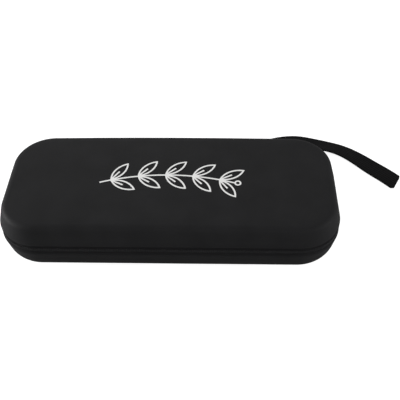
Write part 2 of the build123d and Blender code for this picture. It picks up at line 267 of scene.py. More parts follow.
def mottle_group():
    """Soft patches that make a plain colour a little lighter and darker, and light fluff."""
    group, start, end = new_group(
        "Mottle",
        [
            ("Vector", VECTOR, None),
            ("Color", COLOUR, (0.01, 0.01, 0.01, 1)),
            ("Patch size", VALUE, 30 * MM),
            ("Patches", VALUE, 0.12),
            ("Fluff", VALUE, 0.03),
        ],
        [("Color", COLOUR), ("Patch", VALUE)],
    )
    nodes, links = group.nodes, group.links
    vector, colour, patch_size, patches, fluff = start.outputs[:5]
    patch = nodes.new("ShaderNodeTexNoise")
    patch.inputs["Detail"].default_value = 3
    links.new(vector, patch.inputs["Vector"])
    links.new(math_node(group, "DIVIDE", 1.0, patch_size), patch.inputs["Scale"])
    centred = math_node(group, "SUBTRACT", patch.outputs[0], 0.5)
    swing = math_node(group, "MULTIPLY", centred, patches)
    bright = math_node(group, "MULTIPLY_ADD", swing, 4.0, 1.0)
    specks = nodes.new("ShaderNodeTexNoise")
    specks.inputs["Scale"].default_value = 900
    specks.inputs["Detail"].default_value = 1
    links.new(vector, specks.inputs["Vector"])
    lint = nodes.new("ShaderNodeMapRange")  # only the noise's few highest peaks are lint
    lint.inputs["From Min"].default_value = 0.70
    lint.inputs["From Max"].default_value = 0.78
    links.new(specks.outputs[0], lint.inputs["Value"])
    lit = math_node(group, "MULTIPLY", lint.outputs[0], fluff)
    scaled = nodes.new("ShaderNodeVectorMath")
    scaled.operation = "SCALE"
    links.new(colour, scaled.inputs[0])
    links.new(bright, scaled.inputs["Scale"])
    fluffed = nodes.new("ShaderNodeVectorMath")
    fluffed.operation = "ADD"
    links.new(scaled.outputs[0], fluffed.inputs[0])
    links.new(lit, fluffed.inputs[1])
    links.new(fluffed.outputs[0], end.inputs["Color"])
    links.new(patch.outputs[0], end.inputs["Patch"])
    return group


def ribs_group():
    """Parallel cords of a tape or webbing, with the small bite of its cross threads."""
    group, start, end = new_group(
        "Ribs",
        [
            ("Vector", VECTOR, None),
            ("Rib pitch", VALUE, 1.6 * MM),
            ("Pick pitch", VALUE, 0.7 * MM),
            ("Picks", VALUE, 0.35),
        ],
        [("Height", VALUE)],
    )
    vector, rib_pitch, pick_pitch, picks = start.outputs[:4]
    across, along, _ = split_vector(group, vector)
    rib_turns = math_node(group, "DIVIDE", 2 * pi, rib_pitch)
    rib_angle = math_node(group, "MULTIPLY", across, rib_turns)
    rib = math_node(group, "COSINE", rib_angle)
    flank = math_node(group, "ABSOLUTE", math_node(group, "SINE", rib_angle))
    slant = math_node(group, "MULTIPLY", flank, 1.2)
    pick_turns = math_node(group, "DIVIDE", 2 * pi, pick_pitch)
    pick_angle = math_node(group, "MULTIPLY", along, pick_turns)
    pick = math_node(group, "SINE", math_node(group, "ADD", pick_angle, slant))
    bite = math_node(group, "MULTIPLY", pick, picks)
    group.links.new(math_node(group, "ADD", rib, bite), end.inputs[0])
    return group


GROUPS = {}


def use_group(material, maker):
    """A node group, built once, placed in a material."""
    if maker not in GROUPS:
        GROUPS[maker] = maker()
    node = material.node_tree.nodes.new("ShaderNodeGroup")
    node.node_tree = GROUPS[maker]
    return node


# ---- finishes


def start_material(name, roughness, specular, sheen=0.0):
    """A material with its shader, and the coordinates that patterns read."""
    material = bpy.data.materials.new(name)
    material.use_nodes = True
    shader = material.node_tree.nodes["Principled BSDF"]
    shader.inputs["Roughness"].default_value = roughness
    shader.inputs["Specular IOR Level"].default_value = specular
    shader.inputs["Sheen Weight"].default_value = sheen
    coordinates = material.node_tree.nodes.new("ShaderNodeTexCoord")
    return material, shader, coordinates


def mottled(material, shader, coordinates, colour, patch_size, patches, fluff=0.0):
    """Give the shader a base colour with soft patches; returns the patches' mask."""
    node = use_group(material, mottle_group)
    links = material.node_tree.links
    links.new(coordinates.outputs["Object"], node.inputs["Vector"])
    node.inputs["Color"].default_value = (*colour, 1)
    node.inputs["Patch size"].default_value = patch_size
    node.inputs["Patches"].default_value = patches
    node.inputs["Fluff"].default_value = fluff
    links.new(node.outputs["Color"], shader.inputs["Base Color"])
    return node.outputs["Patch"]


def bumped(material, shader, height, distance, strength=1.0, under=None):
    """Turn a height into the shader's normal, over another bump if there is one."""
    bump = material.node_tree.nodes.new("ShaderNodeBump")
    bump.inputs["Distance"].default_value = distance
    bump.inputs["Strength"].default_value = strength
    links = material.node_tree.links
    links.new(height, bump.inputs["Height"])
    if under is not None:
        links.new(under, bump.inputs["Normal"])
    links.new(bump.outputs[0], shader.inputs["Normal"])
    return bump.outputs[0]


def weave_height(material, coordinates, pitch):
    """Height of a fine weave on any side of a piece."""
    weave = use_group(material, cloth_group)
    weave.inputs["Pitch"].default_value = pitch
    links = material.node_tree.links
    links.new(coordinates.outputs["Object"], weave.inputs["Vector"])
    links.new(coordinates.outputs["Normal"], weave.inputs["Normal"])
    return weave.outputs["Height"]


def woven(name, colour, pitch, depth, roughness, specular, sheen, patches=0.12, fluff=0.0):
    """Plain woven or knitted cloth, a little uneven."""
    material, shader, coordinates = start_material(name, roughness, specular, sheen)
    patch_size, swell_depth = 28 * MM, 0.5 * MM
    patch = mottled(material, shader, coordinates, colour, patch_size, patches, fluff)
    height = weave_height(material, coordinates, pitch)
    swell = bumped(material, shader, patch, swell_depth, strength=0.6)
    bumped(material, shader, height, depth, under=swell)
    return material


def ribbed(name, colour, rib_pitch, pick_pitch, depth, specular, sheen):
    """Tape or webbing whose ribs follow the piece's own map."""
    material, shader, coordinates = start_material(name, 0.72, specular, sheen)
    mottled(material, shader, coordinates, colour, patch_size=18 * MM, patches=0.14)
    ribs = use_group(material, ribs_group)
    ribs.inputs["Rib pitch"].default_value = rib_pitch
    ribs.inputs["Pick pitch"].default_value = pick_pitch
    material.node_tree.links.new(coordinates.outputs["UV"], ribs.inputs["Vector"])
    bumped(material, shader, ribs.outputs["Height"], depth)
    return material


def enamel(name, colour, roughness, specular, grain):
    """Paint or moulded plastic with a faint orange peel."""
    material, shader, coordinates = start_material(name, roughness, specular)
    mottled(material, shader, coordinates, colour, patch_size=9 * MM, patches=0.2)
    peel = material.node_tree.nodes.new("ShaderNodeTexNoise")
    peel.inputs["Scale"].default_value = grain
    material.node_tree.links.new(coordinates.outputs["Object"], peel.inputs["Vector"])
    bumped(material, shader, peel.outputs[0], distance=0.05 * MM, strength=0.5)
    return material


def ink(name, colour, pitch, depth):
    """Screen-print ink that has sunk a little into the cloth."""
    material, shader, coordinates = start_material(name, roughness=0.75, specular=0.25)
    mottled(material, shader, coordinates, colour, patch_size=6 * MM, patches=0.03)
    bumped(material, shader, weave_height(material, coordinates, pitch), depth)
    return material


def foam(name, colour, pores, depth):
    """Closed-cell foam with the fine pores of a cut edge."""
    material, shader, coordinates = start_material(name, roughness=0.9, specular=0.2)
    mottled(material, shader, coordinates, colour, patch_size=12 * MM, patches=0.15)
    cells = material.node_tree.nodes.new("ShaderNodeTexVoronoi")
    cells.inputs["Scale"].default_value = pores
    material.node_tree.links.new(coordinates.outputs["Object"], cells.inputs["Vector"])
    bumped(material, shader, cells.outputs["Distance"], depth, strength=0.6)
    return material


# For each of the record's slots: how it is made, its colour, and its settings.
FINISHES = {
    "shell_fabric": (woven, "cover", dict(
        pitch=0.55 * MM, depth=0.035 * MM, roughness=0.6, specular=0.08, sheen=0.015, patches=0.16
    )),
    "eva_foam": (foam, "foam", dict(pores=2400, depth=0.1 * MM)),
    "lining": (woven, "lining", dict(
        pitch=0.9 * MM, depth=0.08 * MM, roughness=0.9, specular=0.15, sheen=0.3, patches=0.25,
        fluff=0.02,
    )),
    "binding": (woven, "band", dict(
        pitch=0.7 * MM, depth=0.09 * MM, roughness=0.75, specular=0.25, sheen=0.1
    )),
    # The zip tape takes the band's darker colour: partly painted shade in the groove under the
    # lid's rim, and partly the tape's own colour.
    "zip_tape": (woven, "band", dict(
        pitch=0.5 * MM, depth=0.05 * MM, roughness=0.8, specular=0.08, sheen=0.02
    )),
    "hinge_fabric": (woven, "band", dict(
        pitch=0.6 * MM, depth=0.06 * MM, roughness=0.75, specular=0.2, sheen=0.1
    )),
    "webbing": (ribbed, "strap", dict(
        rib_pitch=2.4 * MM, pick_pitch=0.9 * MM, depth=0.12 * MM, specular=0.05, sheen=0.0
    )),
    "elastic": (ribbed, "cover", dict(
        rib_pitch=0.9 * MM, pick_pitch=1.1 * MM, depth=0.1 * MM, specular=0.2, sheen=0.1
    )),
    "zip_coil": (enamel, "coil", dict(roughness=0.5, specular=0.2, grain=1200)),
    "slider_metal": (enamel, "metal", dict(roughness=0.3, specular=0.5, grain=700)),
    "net": (enamel, "band", dict(roughness=0.6, specular=0.2, grain=1500)),
    "print_ink": (ink, "ink", dict(pitch=0.55 * MM, depth=0.03 * MM)),
}
MATERIALS = {}


def finish_of(slot):
    """The material of one of the record's slots, built once."""
    if slot not in MATERIALS:
        maker, colour, settings = FINISHES[slot]
        MATERIALS[slot] = maker(slot, getattr(colours(), colour), **settings)
    return MATERIALS[slot]


# ---- steps that several operators share


def ease(value, low, high):
    """Smooth step from 0 at low to 1 at high."""
    share = min(1.0, max(0.0, (value - low) / (high - low)))
    return share * share * (3 - 2 * share)


def clear_selection():
    """Leave edit mode, and leave nothing selected."""
    if bpy.context.mode != "OBJECT":
        bpy.ops.object.mode_set(mode="OBJECT")
    bpy.ops.object.select_all(action="DESELECT")


def make_active(obj):
    clear_selection()
    obj.select_set(True)
    bpy.context.view_layer.objects.active = obj


def new_piece(name):
    """Name the object that was just added."""
    obj = bpy.context.active_object
    obj.name = obj.data.name = name
    return obj


def apply_place(obj):
    """Carry an object's place, turn and scale into its mesh."""
    make_active(obj)
    bpy.ops.object.transform_apply(location=True, rotation=True, scale=True)


def modify(obj, kind, **settings):
    """Add a modifier, set it and apply it."""
    make_active(obj)
    modifier = obj.modifiers.new(kind.title(), kind)
    for name, value in settings.items():
        setattr(modifier, name, value)
    bpy.ops.object.modifier_apply(modifier=modifier.name)


def edit_all(obj):
    """Enter edit mode with all of a piece selected."""
    make_active(obj)
    bpy.ops.object.mode_set(mode="EDIT")
    bpy.ops.mesh.select_all(action="SELECT")


def turn_over():
    """Mirror what is selected in the floor, with its faces still outwards."""
    bpy.ops.transform.resize(value=(1, 1, -1), center_override=(0, 0, 0))
    bpy.ops.mesh.flip_normals()


def face_outwards(obj):
    """Point all of a closed piece's faces outwards."""
    edit_all(obj)
    bpy.ops.mesh.normals_make_consistent(inside=False)
    bpy.ops.object.mode_set(mode="OBJECT")


def smooth(obj, degrees=40):
    make_active(obj)
    bpy.ops.object.shade_smooth_by_angle(angle=radians(degrees))


def dress(obj, slot):
    obj.data.materials.clear()
    obj.data.materials.append(finish_of(slot))


# Orders of the two bodies, with their rims, for cloth that crosses the hinge: over its axis, or
# under it.
# hand_over leaves a piece that is given either order baked in place, on no body.
OVER_AXIS = (("lid", LID_RIM), ("base", BASE_RIM))
UNDER_AXIS = (("base", BASE_RIM), ("lid", LID_RIM))


def hand_over(obj, body, slot, *nodes, bend=None):
    """Finish a piece: its material, what it rides on and what it stands for."""
    apply_place(obj)
    dress(obj, slot)
    if bend:
        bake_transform(obj)
    else:
        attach(obj, body)
    if nodes:
        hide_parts(*nodes)
    clear_selection()


def keep_node(node):
    """Keep a node of the frame, with a worked-up material."""
    parts = frame["record"]["subparts"]
    dress(frame["nodes"][node], next(s["material_slot"] for s in parts if s["node"] == node))


def cleaned_copy(node, name, edge, segments=2):
    """A copy of a node, its loose triangles merged and its edges softened."""
    same_place = 0.01 * MM
    clear_selection()
    obj = frame["nodes"][node].copy()
    obj.data = frame["nodes"][node].data.copy()
    obj.parent = None
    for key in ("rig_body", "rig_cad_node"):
        if key in obj:
            del obj[key]
    bpy.context.collection.objects.link(obj)
    obj.name = obj.data.name = name
    edit_all(obj)
    bpy.ops.mesh.remove_doubles(threshold=same_place)
    bpy.ops.mesh.customdata_custom_splitnormals_clear()
    bpy.ops.mesh.dissolve_limited(angle_limit=radians(1))
    bpy.ops.object.mode_set(mode="OBJECT")
    modify(obj, "BEVEL", width=edge, segments=segments, limit_method="ANGLE",
           angle_limit=radians(35), use_clamp_overlap=True)
    edit_all(obj)
    bpy.ops.mesh.quads_convert_to_tris()
    bpy.ops.mesh.remove_doubles(threshold=same_place)
    bpy.ops.mesh.dissolve_degenerate(threshold=same_place)
    bpy.ops.mesh.tris_convert_to_quads()
    bpy.ops.object.mode_set(mode="OBJECT")
    smooth(obj)
    return obj


# ---- the plan of the case


def plan_length(inset):
    """Length round the plan, drawn in by inset."""
    radius = sizes().corner_radius - inset
    return 4 * (HALF_LENGTH + HALF_WIDTH - 2 * sizes().corner_radius) + 2 * pi * radius


def plan_place(distance, inset):
    """Point on the plan at a distance counter-clockwise from the back's middle.

    The runs are the plan's straights and corners in that order; a corner has no heading.
    """
    corner = sizes().corner_radius
    radius = corner - inset
    straight_x, straight_y = HALF_LENGTH - corner, HALF_WIDTH - corner
    arc = radius * pi / 2
    left = distance % plan_length(inset)
    runs = [
        (straight_x, Vector((0, straight_y + radius)), pi),
        (arc, Vector((-straight_x, straight_y)), None),
        (2 * straight_y, Vector((-straight_x - radius, straight_y)), 3 * pi / 2),
        (arc, Vector((-straight_x, -straight_y)), None),
        (2 * straight_x, Vector((-straight_x, -straight_y - radius)), 0),
        (arc, Vector((straight_x, -straight_y)), None),
        (2 * straight_y, Vector((straight_x + radius, -straight_y)), pi / 2),
        (arc, Vector((straight_x, straight_y)), None),
        (straight_x, Vector((straight_x, straight_y + radius)), pi),
    ]
    for place, (run, origin, heading) in enumerate(runs):
        if left <= run or place == len(runs) - 1:
            break
        left -= run
    if heading is None:
        angle = (place + 1) * pi / 4 + left / radius
        return origin + radius * Vector((cos(angle), sin(angle)))
    return origin + left * Vector((cos(heading), sin(heading)))


def plan_path(first, last, inset, level):
    """Curve along the plan between two distances, for pieces that run round the case."""
    spacing = 1.5 * MM
    count = ceil((last - first) / spacing)
    data = bpy.data.curves.new("path", "CURVE")
    data.dimensions = "3D"
    spline = data.splines.new("POLY")
    spline.points.add(count)
    for step, point in enumerate(spline.points):
        point.co = (*plan_place(first + (last - first) * step / count, inset), level, 1)
    curve = bpy.data.objects.new("path", data)
    bpy.context.collection.objects.link(curve)
    return curve


def rounded_bar(name, size, place, edge):
    """A small bar with bevelled edges, the start of what repeats round the case."""
    clear_selection()
    bpy.ops.mesh.primitive_cube_add(size=1)
    obj = new_piece(name)
    obj.scale = size
    obj.location = place
    apply_place(obj)
    bpy.ops.object.mode_set(mode="EDIT")
    bpy.ops.mesh.bevel(offset=edge, segments=1, affect="EDGES")
    bpy.ops.object.mode_set(mode="OBJECT")
    return obj


def run_round(obj, pitch, ends, inset, level):
    """Repeat a small piece along the plan, bending each copy with it."""
    first, last = (end * plan_length(inset) / plan_length(0) for end in ends)
    path = plan_path(first, last, inset, level)
    count = int((last - first) / pitch)
    modify(obj, "ARRAY", count=count, use_relative_offset=False, use_constant_offset=True,
           constant_offset_displace=(pitch, 0, 0))
    modify(obj, "CURVE", object=path, deform_axis="POS_X")
    bpy.data.objects.remove(path)


def sweep(name, ends, profile, thickness, offset):
    """Strip of cloth along the plan; the profile gives its inset and level, row by row.

    The offset puts its thickness on one side of the profile or the other, or on both.
    """
    first, last = ends
    spacing = 2 * MM
    steps = ceil((last - first) / spacing)
    clear_selection()
    bpy.ops.mesh.primitive_grid_add(x_subdivisions=steps, y_subdivisions=len(profile) - 1)
    obj = new_piece(name)
    apply_place(obj)
    order = sorted(obj.data.vertices, key=lambda v: (round(v.co.y, 5), round(v.co.x, 5)))
    cloth = obj.data.uv_layers.active.data
    flat = {}
    travelled = 0
    for row, (inset, level) in enumerate(profile):
        if row:
            travelled += hypot(inset - profile[row - 1][0], level - profile[row - 1][1])
        scale = plan_length(inset) / plan_length(0)
        for step in range(steps + 1):
            vertex = order[row * (steps + 1) + step]
            along = first + (last - first) * step / steps
            vertex.co = (*plan_place(along * scale, inset), level)
            flat[vertex.index] = (travelled, along)
    for loop in obj.data.loops:
        cloth[loop.index].uv = flat[loop.vertex_index]
    modify(obj, "SOLIDIFY", thickness=thickness, offset=offset)
    face_outwards(obj)
    smooth(obj, 50)
    return obj


# ---- shells


def shell_profile(height, draft, rounding, start):
    """Inset and level from near the rim, up the drafted wall and round the edge."""
    wall_steps = 4
    small_rounding = 8 * MM
    arc_steps = 6 if rounding < small_rounding else 10
    top_of_wall = height - rounding * (1 - sin(draft))
    levels = [start + (top_of_wall - start) * step / wall_steps for step in range(wall_steps)]
    profile = [(level * tan(draft), level) for level in levels]
    centre = top_of_wall * tan(draft) + rounding * cos(draft)
    for step in range(arc_steps + 1):
        angle = draft + (pi / 2 - draft) * step / arc_steps
        profile.append((centre - rounding * cos(angle), height - rounding + rounding * sin(angle)))
    return profile


def moulded(name, inset, height, draft, rounding, crown, start, flange=0.0):
    """Open tray, rim down: a rounded plate, inset and raised ring by ring, then cut fine."""
    grid = 9 * MM
    profile = shell_profile(height, draft, rounding, start)
    if flange:
        profile.insert(0, (profile[0][0] - flange, start))
    clear_selection()
    first = inset + profile[0][0]
    bpy.ops.mesh.primitive_plane_add(size=1, location=(0, 0, profile[0][1]))
    obj = new_piece(name)
    bpy.ops.object.mode_set(mode="EDIT")
    bpy.ops.transform.resize(
        value=(2 * (HALF_LENGTH - first), 2 * (HALF_WIDTH - first), 1)
    )
    bpy.ops.mesh.bevel(
        offset=sizes().corner_radius - first, segments=20, affect="VERTICES", profile=0.5
    )
    for (near, low), (far, high) in zip(profile, profile[1:]):
        bpy.ops.mesh.inset(thickness=far - near, depth=high - low, use_even_offset=True)
    for axis, half in ((0, HALF_LENGTH), (1, HALF_WIDTH)):
        cuts = int(half / grid)
        for cut in range(-cuts, cuts + 1):
            place, direction = [0, 0, 0], [0, 0, 0]
            place[axis] = cut * grid
            direction[axis] = 1
            bpy.ops.mesh.select_all(action="SELECT")
            bpy.ops.mesh.bisect(plane_co=place, plane_no=direction)
    bpy.ops.object.mode_set(mode="OBJECT")
    apply_place(obj)
    if crown:
        ball = HALF_LENGTH ** 2 / (2 * crown)
        for vertex in obj.data.vertices:
            x, y, z = vertex.co
            drop = ball - sqrt(ball ** 2 - x ** 2 - y ** 2)
            vertex.co.z = z - drop * max(0.0, z - start) / (height - start)
    return obj


ROLL_STEPS = ((0.6, 0.1), (0.32, 0.24), (0.08, 0.66))


def roll_rim(obj, depth, inwards):
    """Turn the open edge down and in, like cloth folded over the foam into a seam.

    Each of the steps is a share of the way down and a share of the way in.
    """
    make_active(obj)
    bpy.ops.object.mode_set(mode="EDIT")
    bpy.ops.mesh.select_all(action="DESELECT")
    bpy.ops.mesh.select_mode(type="EDGE")
    bpy.ops.mesh.select_non_manifold(
        extend=False, use_wire=False, use_boundary=True, use_multi_face=False,
        use_non_contiguous=False, use_verts=False,
    )
    for share_down, share_in in ROLL_STEPS:
        shrink = inwards * share_in
        bpy.ops.mesh.extrude_region_move(
            TRANSFORM_OT_translate={"value": (0, 0, -depth * share_down)}
        )
        bpy.ops.transform.resize(
            value=(1 - shrink / HALF_LENGTH, 1 - shrink / HALF_WIDTH, 1),
            center_override=(0, 0, 0),
        )
    bpy.ops.mesh.select_mode(type="VERT")
    bpy.ops.object.mode_set(mode="OBJECT")


def settle(obj, amount, size, seed):
    """Small unevenness of cloth that was heat-pressed over foam."""
    for vertex in obj.data.vertices:
        swell = noise.noise(Vector(vertex.co) / size + Vector((seed, 0, 0)))
        vertex.co += vertex.normal * swell * amount


def seat(obj, level, upside_down):
    """Put a tray, made rim down on the floor, on its rim's level."""
    edit_all(obj)
    if upside_down:
        turn_over()
    bpy.ops.transform.translate(value=(0, 0, level))
    bpy.ops.object.mode_set(mode="OBJECT")


class CASE_OT_shells(Operator):
    """Fabric covers and brushed linings of the base and the lid"""

    bl_idname = "case.shells"
    bl_label = "Shells"

    def execute(self, context):
        size = sizes()
        base = (BASE_RIM, size.base_draft, size.base_rounding, 0.0)
        lid = (LID_TOP - LID_RIM, size.lid_draft, size.lid_rounding, size.lid_crown)
        for body, level, shape, fold in (
            ("base", BASE_RIM, base, size.base_fold), ("lid", LID_RIM, lid, size.lid_fold)
        ):
            self.skin(body, level, shape, fold)
            self.lining(body, level, *shape)
            keep_node(f"{body}_core")
        return {"FINISHED"}

    def skin(self, body, level, shape, fold):
        """Fabric cover, folded in over the rim as far as the zip tape."""
        turn_in = sizes().tape_inset - 0.05 * MM
        skin = moulded(f"{body}_skin", 0.0, *shape, fold)
        roll_rim(skin, fold, turn_in)
        modify(skin, "SOLIDIFY", thickness=sizes().cover, offset=-1, use_even_offset=False)
        settle(skin, amount=0.06 * MM, size=22 * MM, seed=level)
        self.finish(skin, body, level, "shell_fabric", f"{body}_cover")

    def lining(self, body, level, height, draft, rounding, crown):
        """Lining from the seam inwards, a little proud of the foam's step."""
        size = sizes()
        wall = size.shell_wall
        inner = max(rounding - wall, 2.5 * MM)
        start = size.seam_depth - 0.15 * MM
        flange = wall - size.binding_inset - 0.2 * MM
        lining = moulded(
            f"{body}_lining_cloth", wall, height - wall, draft, inner, crown, start, flange
        )
        modify(lining, "SOLIDIFY", thickness=size.lining, offset=1, use_even_offset=False)
        self.finish(lining, body, level, "lining", f"{body}_lining")

    def finish(self, obj, body, level, slot, node):
        """Seat a tray on its rim and hand it over."""
        seat(obj, level, body == "base")
        smooth(obj, 50)
        hand_over(obj, body, slot, node)


# ---- zip, bindings and hinge


def tooth(name):
    """One turn of the nylon coil, seen as a rounded bar with a wider head."""
    width, depth, height = 0.82 * MM, 0.8 * MM, sizes().coil_half
    head, widening = 0.4 * MM, 1.12
    middle = sizes().tooth_pitch / 2
    obj = rounded_bar(name, (width, depth, height), (middle, 0, height / 2), 0.24 * MM)
    for vertex in obj.data.vertices:
        if vertex.co.z < head:
            vertex.co.x = middle + widening * (vertex.co.x - middle)
    return obj


def coil(name, body, node, ends, upper, bend=None):
    """Teeth of one half of the coil along the plan, their heads between the other half's."""
    pitch, overlap = sizes().tooth_pitch, 0.35 * MM
    obj = tooth(name)
    edit_all(obj)
    if upper:
        bpy.ops.transform.translate(value=(pitch / 2, 0, -overlap))
    else:
        turn_over()
        bpy.ops.transform.translate(value=(0, 0, overlap))
    bpy.ops.object.mode_set(mode="OBJECT")
    run_round(obj, pitch, ends, HALF_WIDTH - COIL_BACK + 0.5 * MM, CHAIN_LEVEL)
    smooth(obj, 60)
    hand_over(obj, body, "zip_coil", node, bend=bend)


def back_ends(x):
    """Distances round the plan of the two places on the back at x from its middle."""
    return x, plan_length(0) - x


# Section of the tapes next to the rims, in mm: how far in and how far from the rim each point is.
# The base's tape rounds out to the cover. The lid's tape has a groove under the rim.
BASE_TAPE_FOLD = ((0.12, 0.04), (0.16, 0.8), (0.35, 1.6), (0.8, 2.3))
LID_TAPE_FOLD = ((0.1, 0.0), (1.0, 0.6), (1.1, 1.7))


class CASE_OT_zip(Operator):
    """Coil teeth, tapes and the loose ends beside the hinge"""

    bl_idname = "case.zip"
    bl_label = "Zip"

    def execute(self, context):
        inset = sizes().tape_inset
        behind_coil = inset + 0.1 * MM
        tuck = 6.4 * MM
        base_fold = [(deep * MM, BASE_RIM + rise * MM) for deep, rise in BASE_TAPE_FOLD]
        base_fold.append((inset, BASE_RIM + 2.8 * MM))
        lid_fold = [(behind_coil + tuck * tan(sizes().lid_draft), LID_RIM + tuck)]
        lid_fold += [(inset + deep * MM, LID_RIM - drop * MM) for deep, drop in LID_TAPE_FOLD]
        inner, outer = back_ends(TAIL_INNER), back_ends(TAIL_OUTER)
        for body, ends, fold, side in (
            ("base", inner, base_fold, -1), ("lid", outer, lid_fold, 1)
        ):
            coil(f"{body}_coil_teeth", body, f"{body}_zip_coil", ends, body == "lid")
            edge = [(behind_coil, CHAIN_LEVEL + side * gap * MM) for gap in (0.9, 0.12)]
            self.tape(f"{body}_tape_cloth", body, f"{body}_zip_tape", ends, fold + edge)
        levels = [min(CHAIN_LEVEL + (0.3 + 0.7 * step) * MM, LID_RIM) for step in range(7)]
        profile = [(behind_coil, level) for level in levels]
        for side, ends in (("left", (inner[0], outer[0])), ("right", (outer[1], inner[1]))):
            teeth, cloth = f"tail_teeth_{side}", f"tail_cloth_{side}"
            coil(teeth, "base", f"zip_tail_coil_{side}", ends, True, UNDER_AXIS)
            self.tape(cloth, "base", f"zip_tail_tape_{side}", ends, profile, UNDER_AXIS)
        stops = cleaned_copy("zip_stops", "zip_stop_crimps", 0.12 * MM)
        hand_over(stops, "base", "slider_metal", "zip_stops")
        return {"FINISHED"}

    def tape(self, name, body, node, ends, profile, bend=None):
        """Woven tape along the plan."""
        obj = sweep(name, ends, profile, sizes().tape, offset=-1)
        hand_over(obj, body, "zip_tape", node, bend=bend)


class CASE_OT_bindings(Operator):
    """Binding tapes inside both rims, with their rows of stitches"""

    bl_idname = "case.bindings"
    bl_label = "Rim bindings"

    def execute(self, context):
        size = sizes()
        ends = back_ends(HINGE_HALF)
        face = size.binding_inset + 0.75 * MM
        row_step, rows = 1.36 * MM, 6
        rounded = [(face - 0.3 * MM, 0.02 * MM), (face - 0.1 * MM, 0.2 * MM)]
        for body, rim, up, draft in (
            ("base", BASE_RIM, 1, size.base_draft), ("lid", LID_RIM, -1, size.lid_draft)
        ):
            section = rounded + [(face, step * row_step) for step in range(1, rows + 1)]
            profile = [(inset + deep * tan(draft), rim - up * deep) for inset, deep in section]
            obj = sweep(f"{body}_binding_tape", ends, profile, size.tape, offset=1)
            hand_over(obj, body, "binding", f"{body}_rim_binding")
            for row, deep in enumerate((2.2 * MM, 6.2 * MM), start=1):
                inset = face + 0.03 * MM + deep * tan(draft)
                self.stitches(f"{body}_stitches_{row}", body, ends, rim - up * deep, inset)
        return {"FINISHED"}

    def stitches(self, name, body, ends, level, inset):
        """A row of thread that stands a little proud of the tape."""
        pitch = sizes().stitch_pitch
        thread = (0.74 * pitch, 0.36 * MM, 0.42 * MM)
        obj = rounded_bar(name, thread, (pitch / 2, 0.08 * MM, 0), 0.14 * MM)
        run_round(obj, pitch, ends, inset, level)
        smooth(obj, 60)
        hand_over(obj, body, "binding")


class CASE_OT_hinge(Operator):
    """Fabric hinge along the back, and its lining"""

    bl_idname = "case.hinge"
    bl_label = "Hinge"

    def execute(self, context):
        tuck, rows = 5.8 * MM, 28
        for name, node, slot, thickness in (
            ("hinge_cloth", "hinge_web", "hinge_fabric", 0.6 * MM),
            ("hinge_lining_cloth", "hinge_lining", "lining", 0.45 * MM),
        ):
            inset = HALF_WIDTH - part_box(node)[1].y
            profile = []
            for row in range(rows + 1):
                level = BASE_RIM - tuck + (LID_RIM - BASE_RIM + 2 * tuck) * row / rows
                lean = max(0.0, BASE_RIM - level) * tan(sizes().base_draft)
                lean += max(0.0, level - LID_RIM) * tan(sizes().lid_draft)
                profile.append((inset + 0.05 * MM + lean, level))
            middle = plan_length(0)
            half = HINGE_HALF * plan_length(0) / plan_length(inset)
            ends = (middle - half, middle + half)
            obj = sweep(name, ends, profile, thickness, offset=-1)
            hand_over(obj, "base", slot, node, bend=OVER_AXIS)
        return {"FINISHED"}


class CASE_OT_slider(Operator):
    """Slider, its bridge and the pull tab"""

    bl_idname = "case.slider"
    bl_label = "Slider"

    def execute(self, context):
        for node, body in (
            ("slider_body", "slider"), ("slider_bridge", "slider"), ("pull_tab", "pull")
        ):
            piece = cleaned_copy(node, f"{node}_enamel", 0.25 * MM)
            hand_over(piece, body, "slider_metal", node)
        return {"FINISHED"}


# ---- wrist strap

# The route's points in mm, from the strap's root at the hinge to its tip on the floor.
STRAP_ROOT = (34.8, 62.7, 25.3)
STRAP_ROUTE = [
    STRAP_ROOT,
    (44.4, 62.9, 15.6),
    (53.0, 66.0, 6.5),
    (63.0, 75.2, 1.5),
    (74.4, 87.8, 1.5),
    (88.0, 97.9, 1.5),
    (103.6, 104.5, 1.5),
    (120.4, 106.3, 1.5),
    (137.0, 103.1, 1.5),
    (152.2, 96.9, 1.5),
    (165.7, 90.1, 1.5),
    (178.5, 80.1, 1.5),
    (190.3, 68.5, 1.5),
    (202.3, 57.5, 1.5),
    (210.8, 47.7, 1.5),
]

# One quarter of the strap's section, from the slit between its plies round the bead of its edge
# to its middle, as shares of half its width and half its thickness.
STRAP_QUARTER = (
    (0.965, 0.06), (1.0, 0.22), (1.0, 0.72), (0.975, 0.93), (0.92, 1.0), (0.85, 0.97),
    (0.80, 0.86), (0.75, 0.97), (0.6, 1.0), (0.4, 1.0), (0.2, 1.0), (0.0, 1.0),
)

# How the strap lies, as distances from its root: it leans on its far edge over one stretch, and
# it sways sideways a little. Each pair is where such a change begins and ends.
LEAN_HEIGHT, LEAN_IN = 4.2 * MM, 0.5 * MM
LEAN_BEGINS, LEAN_ENDS = (118 * MM, 140 * MM), (138 * MM, 200 * MM)
SWAY, SWAY_BEGINS, SWAY_ENDS = 1.2 * MM, (104 * MM, 126 * MM), (126 * MM, 150 * MM)
DRIFT, DRIFT_BEGINS = 0.4 * MM, (140 * MM, 160 * MM)
LEVEL_ROOT = 12 * MM

# The tip: the radius of its corners, how far back its fold thins out, and how far its end is
# skewed over which length.
TIP_CORNER, TIP_FOLD, TIP_SKEW, TIP_SKEWED = 2.2 * MM, 1.2 * MM, 2.5 * MM, 10 * MM


def route_points():
    """Points along the strap's route, as its smooth line gives them."""
    data = bpy.data.curves.new("route", "CURVE")
    data.dimensions = "3D"
    data.resolution_u = 12
    spline = data.splines.new("NURBS")
    spline.points.add(len(STRAP_ROUTE) - 1)
    for point, place in zip(spline.points, STRAP_ROUTE):
        point.co = (*(value * MM for value in place), 1)
    spline.order_u = 3
    spline.use_endpoint_u = True
    curve = bpy.data.objects.new("route", data)
    mesh = bpy.data.meshes.new_from_object(curve)
    points = [vertex.co.copy() for vertex in mesh.vertices]
    bpy.data.objects.remove(curve)
    return points


